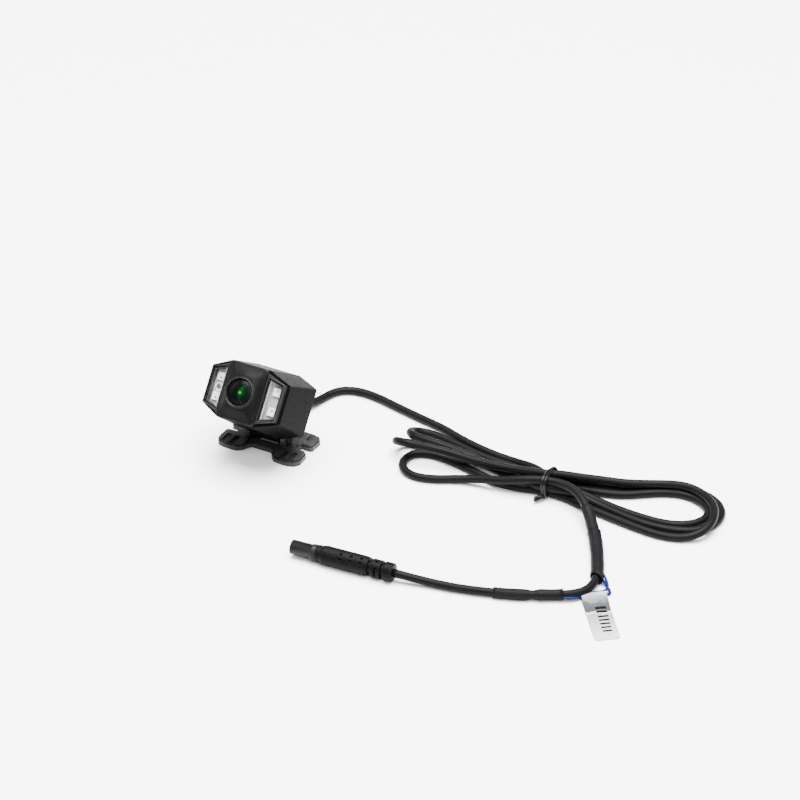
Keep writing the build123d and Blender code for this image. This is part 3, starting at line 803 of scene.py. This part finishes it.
def window_lip(side, label):
    """The fine raised line round a window's seat, painted lighter than the cover as a highlight."""
    vertices = []
    for grow, lift in ((0.72, -0.03), (0.72, 0.16), (0.82, 0.24), (1.0, 0.24), (1.1, 0.16), (1.1, -0.03)):
        vertices += [(side * x, bezel_y(x, -lift), z) for x, z in window_corners(grow * 0.85, grow)]
    rows = [range(a, a + 4) for a in range(0, 24, 4)]
    lip = mesh_piece("window_lip_" + label, vertices, bridge(rows, True), HEAD, False)
    paint(lip, "cover_black", LIP_HIGHLIGHT)
    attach(lip, "camera_head")


for make in (make_lights, window_tray, window_lip):
    for side, label in SIDES:
        make(side, label)

turned_place = on_bezel(-1, 13.2, 0, LED_DEPTH) @ Matrix.Rotation(math.radians(90), 4, "X")
profile = [(0, 1.75), (-0.8, 1.75), (-0.95, 1.65), (-0.98, 1.45), (-0.9, 1.2), (0, 1.2)]
rim = rings("sensor_rim", profile, turned_place, 48, closed=True)
paint(rim, "led_white")
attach(rim, "camera_head")
eye = rings("sensor_eye", [(0, 0), (0, 1.18), (-0.7, 1.18), (-0.85, 0.9), (-0.92, 0)], turned_place, 48)
paint(eye, "light_sensor_grey")
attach(eye, "camera_head")
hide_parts("light_sensor")

# a thin strip painted light as a highlight along the lower front edge of the hinge lug
hinge_highlight_strip = mesh_piece("hinge_highlight_strip", *box_points(-1.6, 6.6, -4.3, -3.9, 4.0, 4.55), None, True, 0.12)
paint(hinge_highlight_strip, "housing_black", HINGE_HIGHLIGHT)
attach(hinge_highlight_strip, "camera_head")

# ---------------------------------------------------------------- the lead

line = spline_points(ROUTE)
near_end = nearest_index(line, NEAR_END, 0, 90)
line_frames = frames_along(line)

lead_near = tube("lead_near", line[: near_end + 1], CORD_R * MM, frames=line_frames[: near_end + 1])
paint(lead_near, "cord_black")
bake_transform(lead_near)
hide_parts("lead_flex")

lead = tube("lead", line[near_end:], CORD_R * MM, frames=line_frames[near_end:])
paint(lead, "cord_black")
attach(lead, "base")
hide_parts("lead_run", "cable_hank", "tail_run")

# ---------------------------------------------------------------- the tie

TIE = (119.4, 21.3, 5.45)
TIE_HALF_Y, TIE_HALF_Z = 5.55, 4.7
WRAP_STEPS = 40  # points in each of the wrap's two turns
TWIST_R = 0.52


def tie_point(turn, grow=0.0, x=0.0):
    """A point of the wrap, a rounded rectangle, at that many turns from its lower front."""
    a = 2 * math.pi * turn - math.radians(115)
    c, d = math.cos(a), math.sin(a)
    power = 0.62
    y = math.copysign(abs(c) ** power, c) * (TIE_HALF_Y + grow)
    z = math.copysign(abs(d) ** power, d) * (TIE_HALF_Z + grow)
    return (TIE[0] + x - 0.05 * z - 0.04 * y, TIE[1] + y, max(TIE[2] + z, 0.62))


wrap = []
for k in range(2 * WRAP_STEPS + 1):
    turn = k / WRAP_STEPS
    slide = 1.44 * min(max((turn - 0.05) / 1.9, 0), 1)
    swing = 0.25 * math.sin(2 * math.pi * turn + 0.6) * (1 if turn < 1 else -1)
    wrap.append(tie_point(turn, 0.08 * math.sin(9 * turn), -0.72 + slide + swing))
knot = Vector((TIE[0] + 0.1, TIE[1] - 6.0, 2.3))
heading = Vector((-0.45, -0.6, -0.12)).normalized()
sideways = heading.cross(Vector((0, 0, 1))).normalized()
over = sideways.cross(heading)


def twist(phase, length, turns=1.6, steps=24):
    """One of the tie's two ends, winding round the other away from the knot."""
    out = []
    for k in range(steps + 1):
        t = k / steps
        a = phase + 2 * math.pi * turns * t
        place = knot + heading * (length * t)
        out.append(tuple(place + sideways * (TWIST_R * math.cos(a)) + over * (TWIST_R * math.sin(a))))
    return out


first = twist(0, 3.6)[::-1] + wrap[3:]
second = [wrap[-1], (TIE[0] + 0.4, TIE[1] - 5.9, 1.6)] + twist(math.pi, 2.9)
for name, route, r in (("tie_wrap", first, 0.68), ("tie_twist", second, 0.66)):
    piece = tube(name, spline_points(route, 6), r * MM, 14)
    paint(piece, "tie_black")
    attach(piece, "base")
    if name == "tie_wrap":
        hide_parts("cable_tie")
rise = [
    (118.6, 24.2, 9.6), (119.0, 25.0, 10.4), (119.9, 25.8, 10.4), (120.9, 25.9, 9.5), (121.3, 25.2, 8.4),
    (120.8, 24.4, 8.0),
]
piece = tube("tie_loop", spline_points(rise, 10), 0.6 * MM, 14)
paint(piece, "tie_black")
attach(piece, "base")
tip = Vector(twist(0, 3.6)[-1])
core = tube("tie_core", [tip * MM, (tip + heading * 0.5) * MM], 0.3 * MM, 14)
paint(core, "tie_black", BARE_WIRE)
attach(core, "base")

# ---------------------------------------------------------------- sleeves


SLEEVE_WALL = 0.36
SLEEVE_LEAN = Vector((0.85, 0.5, 0.1))


def index_near(place, low=-420):
    """The index of the line's point nearest to a place on the tail."""
    return nearest_index(line, place, len(line) + low)


def sleeve(name, start, stop, profile, wobble, seed, slant=0.0):
    """A shrunk sleeve: profile(t, angle) gives its outer radius in mm along it; its wall shows at both ends.

    slant, in mm, cuts the far end at an angle.
    """
    points, frames = line[start: stop + 1], line_frames[start: stop + 1]
    lengths = run_lengths(points)
    vertices, rows = [], []
    sides = 40

    def add(i, radius_of):
        place, (tangent, n, b) = points[i], frames[i]
        t = lengths[i] / lengths[-1]
        rows.append(range(len(vertices), len(vertices) + sides))
        for a in circle(sides):
            outward = n * math.cos(a) + b * math.sin(a)
            swell = noise.noise(Vector((lengths[i] * 260, 1.4 * math.cos(a), 1.4 * math.sin(a) + seed)))
            r = radius_of(t, a) + wobble * swell
            if slant and t > 0.8:
                place = points[i] + tangent * (outward.dot(SLEEVE_LEAN) * slant * MM * (t - 0.8) / 0.2)
            v = place + outward * (r * MM)
            vertices.append((v.x / MM, v.y / MM, max(v.z / MM, 0.02)))

    for i in range(len(points)):
        add(i, profile)
    for i in (len(points) - 1, len(points) - 3, 2, 0):
        add(i, lambda t, a: profile(t, a) - SLEEVE_WALL)
    # the wall is open inside, out of sight between its two turned-in ends
    faces = bridge(rows[:-2]) + bridge(rows[-2:] + rows[:1])
    piece = mesh_piece(name, vertices, faces)
    paint(piece, "sleeve_black")
    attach(piece, "base")
    return piece


def flare(t, edge=0.05):
    """How far a sleeve's ends stand out, in mm."""
    return 0.16 * max(0, 1 - t / edge) + 0.1 * max(0, 1 - (1 - t) / edge)


inner = sleeve("sleeve_inner", index_near((142.2, 10.5, 7.0)), index_near((157.6, -11.0, 2.9)),
               lambda t, a: 2.42 + flare(t) * 0.6, 0.12, 3.0)
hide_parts("junction_sleeve_inner")
outer = sleeve("sleeve_outer", index_near((151.2, -0.6, 3.9)), index_near((164.9, -26.6, 2.95)),
               lambda t, a: 2.76 + flare(t, 0.04) + 0.12 * math.cos(a) * t, 0.1, 8.0, 1.3)
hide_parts("junction_sleeve_outer")


def pinch(t, a):
    """The splice sleeve's outer radius: it shrinks to a neck over the joint."""
    neck = math.exp(-((t - 0.44) / 0.055) ** 2)
    return 2.25 - 0.5 * neck + flare(t, 0.06) * 0.6 + 0.08 * math.exp(-((t - 0.3) / 0.05) ** 2)


splice = sleeve("sleeve_splice", index_near((158.4, -42.6, 2.7), -200), index_near((132.5, -54.3, 2.3), -200),
                pinch, 0.13, 5.0)
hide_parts("splice_sleeve")

# ---------------------------------------------------------------- blue wires and the flag label

WIRES = [
    [
        (164.6, -22.6, 2.2), (167.2, -25.4, 2.0), (170.2, -27.6, 1.2), (172.6, -29.4, 0.8), (173.3, -31.2, 0.7),
        (171.6, -32.6, 0.8), (168.6, -33.9, 1.0), (165.6, -37.8, 1.0), (162.8, -41.7, 2.0), (160.6, -43.3, 2.1),
        (158.6, -44.0, 2.1), (155.6, -44.4, 2.1),
    ],
    [
        (165.6, -22.2, 3.0), (168.2, -24.8, 2.7), (170.2, -27.0, 2.2), (171.6, -29.8, 1.9), (171.0, -31.6, 1.7),
        (168.8, -33.2, 1.5), (165.2, -37.0, 2.0), (162.4, -40.9, 3.2), (160.4, -42.6, 3.3), (158.4, -43.4, 3.2),
        (155.6, -43.9, 3.0),
    ],
]
WIRE_R = 0.56

for k, route in enumerate(WIRES):
    piece = tube("blue_wire_%d" % (k + 1), spline_points(route, 10), WIRE_R * MM, 16)
    paint(piece, "wire_blue")
    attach(piece, "base")
    if k == 0:
        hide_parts("loop_wires")

LABEL = Matrix.Translation((0.1636, -0.0381, 0)) @ Matrix.Rotation(math.radians(-52.6), 4, "Z")
# the folded film in section: (along, up), from under the free end round the wires and back over
FOLD = [
    (29.7, 0.05), (22.0, 0.05), (12.0, 0.05), (5.0, 0.08), (1.6, 0.1), (-0.3, 0.22), (-1.05, 0.75), (-1.0, 1.5),
    (-0.25, 2.05), (1.0, 2.2), (3.0, 2.05), (5.6, 1.55), (8.4, 0.95), (11.0, 0.6), (12.6, 0.5), (13.2, 0.56),
    (16.0, 0.42), (22.0, 0.3), (29.7, 0.24),
]
WIDTH = 10.4
LENGTH = 29.7
CORNER = 1.3
FILM = 0.06
ACROSS = 22  # faces across the label
# plain strokes where the label is printed: start and end along it, start and end across it
STROKES = [
    (8.6, 9.9, 4.2, 8.6), (11.0, 12.1, 4.2, 8.6), (14.0, 15.0, 4.3, 8.5), (16.3, 17.3, 4.2, 8.4),
    (18.7, 19.7, 4.3, 8.4), (21.1, 22.1, 4.2, 8.2), (23.5, 24.5, 4.3, 8.2),
]
STROKE_STEPS = 6


def label_line():
    """The folded sheet's section, spaced evenly enough for its pinked edges."""
    out = []
    for (x0, z0), (x1, z1) in zip(FOLD, FOLD[1:]):
        count = max(1, round(math.hypot(x1 - x0, z1 - z0) / 0.28))
        out += [(x0 + (x1 - x0) * k / count, z0 + (z1 - z0) * k / count) for k in range(count)]
    out.append(FOLD[-1])
    for _ in range(6):
        middle = [tuple((a + 2 * b + c) / 4 for a, b, c in zip(*t)) for t in zip(out, out[1:], out[2:])]
        out = [out[0]] + middle + [out[-1]]
    return out


def label_height(x, y):
    """Gentle buckling of the upper layer."""
    return 0.16 * max(0, 1 - abs(x - 8) / 7) * math.sin(y * 0.75 + x * 0.35)


def edge_cut(i, x):
    """How far in the label's side edge lies at a point: pinked teeth and rounded corners."""
    nip = 0.2 if i % 2 else -0.04
    past = max(0.0, x - (LENGTH - CORNER))
    cut = CORNER - math.sqrt(max(CORNER * CORNER - past * past, 0)) if past > 0 else 0
    return nip + cut


def make_label(section):
    vertices, rows = [], []
    for i, (x, z) in enumerate(section):
        upper = i > len(section) * 0.45
        inset = edge_cut(i, x)
        rows.append(range(len(vertices), len(vertices) + ACROSS + 1))
        for j in range(ACROSS + 1):
            y = inset + (WIDTH - 2 * inset) * j / ACROSS
            vertices.append((x, y, z + (label_height(x, y) if upper else 0)))
    faces = [(a[j], a[j + 1], b[j + 1], b[j]) for a, b in zip(rows, rows[1:]) for j in range(ACROSS)]
    count = len(vertices)
    for i, row in enumerate(rows):
        a, b = section[max(i - 1, 0)], section[min(i + 1, len(section) - 1)]
        dx, dz = b[0] - a[0], b[1] - a[1]
        size = math.hypot(dx, dz) or 1
        for j in row:
            x, y, z = vertices[j]
            vertices.append((x - dz / size * FILM, y, z + dx / size * FILM))
    faces += [tuple(v + count for v in face[::-1]) for face in faces]
    for a, b in zip(rows, rows[1:]):
        faces.append((a[0], b[0], b[0] + count, a[0] + count))
        faces.append((b[ACROSS], a[ACROSS], a[ACROSS] + count, b[ACROSS] + count))
    for row, turn in ((rows[0], 1), (rows[-1], -1)):
        for j in range(ACROSS):
            face = (row[j], row[j] + count, row[j + 1] + count, row[j + 1])
            faces.append(face[::turn])
    piece = mesh_piece("flag_label_look", vertices, faces, LABEL)
    paint(piece, "label_silver", LABEL_PAINTED_REFLECTION)
    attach(piece, "base")
    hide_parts("flag_label")


def stroke(upper, x0, x1, y0, y1):
    """A thin printed bar lying on the label's upper layer."""
    flat = []
    for x in (x0, (x0 + x1) / 2, x1):
        z = min(upper, key=lambda p: abs(p[0] - x))[1]
        for k in range(STROKE_STEPS + 1):
            y = y0 + (y1 - y0) * k / STROKE_STEPS
            flat.append((x, y, z + 0.15 + label_height(x, y)))
    low = [(x, y, z - 0.09) for x, y, z in flat]
    n, wide = len(flat), STROKE_STEPS + 1
    faces = []
    for r in range(2):
        for k in range(STROKE_STEPS):
            faces.append((r * wide + k, r * wide + k + 1, (r + 1) * wide + k + 1, (r + 1) * wide + k))
    faces += [tuple(v + n for v in f[::-1]) for f in faces]
    rim = list(range(wide)) + [2 * wide - 1, 3 * wide - 1] + list(range(3 * wide - 2, 2 * wide - 1, -1)) + [wide]
    faces += [(a, b, b + n, a + n) for a, b in zip(rim, rim[1:] + rim[:1])]
    return mesh_piece("stroke", flat + low, faces, LABEL, False)


def make_strokes(section):
    upper = [p for i, p in enumerate(section) if i > len(section) * 0.5]
    ink = join_pieces("label_strokes", [stroke(upper, *place) for place in STROKES])
    paint(ink, "label_silver", INK)
    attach(ink, "base")


label_section = label_line()
make_label(label_section)
make_strokes(label_section)

# ---------------------------------------------------------------- the plug

PLUG = Matrix.Translation((0.0930, -0.0632, 0.00405)) @ Matrix.Rotation(math.radians(184), 4, "Z")
# plug coordinates in millimetres: x from the cable to the mouth
# (x, radius) of the moulded body
OUTLINE = [
    (0.0, 1.8), (0.0, 3.45), (0.15, 3.75), (0.5, 3.9), (3.4, 3.9), (3.65, 3.82), (11.4, 3.82), (11.7, 4.02),
    (30.0, 4.02), (30.5, 3.95), (31.1, 3.6), (33.3, 3.55), (33.4, 3.4),
]
# ring grooves: x, half width, and the arc they cover in degrees
GROOVES = [(4.4, 0.66, -70, 150), (9.9, 0.7, -70, 150), (7.1, 0.6, -30, 42), (7.1, 0.6, 74, 132)]
# dots: x and angle in degrees
DOTS = [(x, a + 4 * k) for k, x in enumerate((22.4, 17.9, 13.5)) for a in (34, 66, 98)]

GROOVE_DEPTH = 1.5
DOT_R, DOT_DEPTH = 0.58, 0.9
RIB_PITCH, RIB_DEPTH = 0.62, 0.09
# (x, radius) of the front barrel, from behind its flange to the mouth and back inside
SHELL = [
    (33.35, 0), (33.35, 3.3), (33.6, 3.3), (33.7, 3.42), (35.4, 3.4), (35.7, 3.3), (35.9, 3.06), (44.4, 3.02),
    (44.7, 2.92), (44.8, 2.75), (44.75, 2.55), (44.5, 2.48), (36.3, 2.48), (36.25, 0),
]


def outline_at(x):
    """The body's radius before its grooves, dots and ribs."""
    for (x0, r0), (x1, r1) in zip(OUTLINE, OUTLINE[1:]):
        if x <= x1 and x1 > x0:
            return r0 + (r1 - r0) * max(0, (x - x0) / (x1 - x0))
    return OUTLINE[-1][1]


def ease(value):
    """A smooth step from 0 to 1."""
    value = min(max(value, 0.0), 1.0)
    return value * value * (3 - 2 * value)


def plug_radius(x, a):
    """The body's radius at one point, with grooves, dots and the ribbed patch cut in."""
    r = outline_at(x)
    turn = (math.degrees(a) + 180) % 360 - 180
    for at, half, low, high in GROOVES:
        across = ease((half - abs(x - at)) / 0.16 + 0.5)
        around = ease((turn - low) / 4 + 0.5) * ease((high - turn) / 4 + 0.5)
        r -= GROOVE_DEPTH * across * around
    for at, angle in DOTS:
        gap = math.hypot(x - at, math.radians(turn - angle) * 4.0)
        r -= DOT_DEPTH * ease((DOT_R - gap) / 0.16 + 0.5)
    patch = ease((28.6 - x) / 0.5) * ease((x - 24.0) / 0.5) * ease((turn - 25) / 6) * ease((100 - turn) / 6)
    r -= RIB_DEPTH * patch * (0.5 + 0.5 * math.sin(x * 2 * math.pi / RIB_PITCH)) * (0.6 + 0.4 * math.sin(turn * 0.45))
    return r


def make_plug():
    sides, step = 200, 0.13
    stations = [0.0, 0.0, 0.05, 0.15, 0.3] + [0.5 + step * k for k in range(int(32.8 / step))] + [33.4]
    vertices, rows = [], []
    for i, x in enumerate(stations):
        rows.append(range(len(vertices), len(vertices) + sides))
        for a in circle(sides):
            r = OUTLINE[0][1] if i == 0 else plug_radius(x, a)
            vertices.append((x, r * math.cos(a), r * math.sin(a)))
    faces = bridge(rows) + [tuple(rows[0])[::-1], tuple(rows[-1])]
    piece = mesh_piece("plug_body_look", vertices, faces, PLUG)
    paint(piece, "plug_black")
    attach(piece, "base")
    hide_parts("plug_overmould")
    turn = PLUG @ Matrix.Rotation(math.radians(90), 4, "Z")
    shell = rings("plug_shell_look", [(-x, r) for x, r in SHELL], turn)
    paint(shell, "plug_shell_black")
    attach(shell, "base")
    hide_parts("plug_shell")


make_plug()
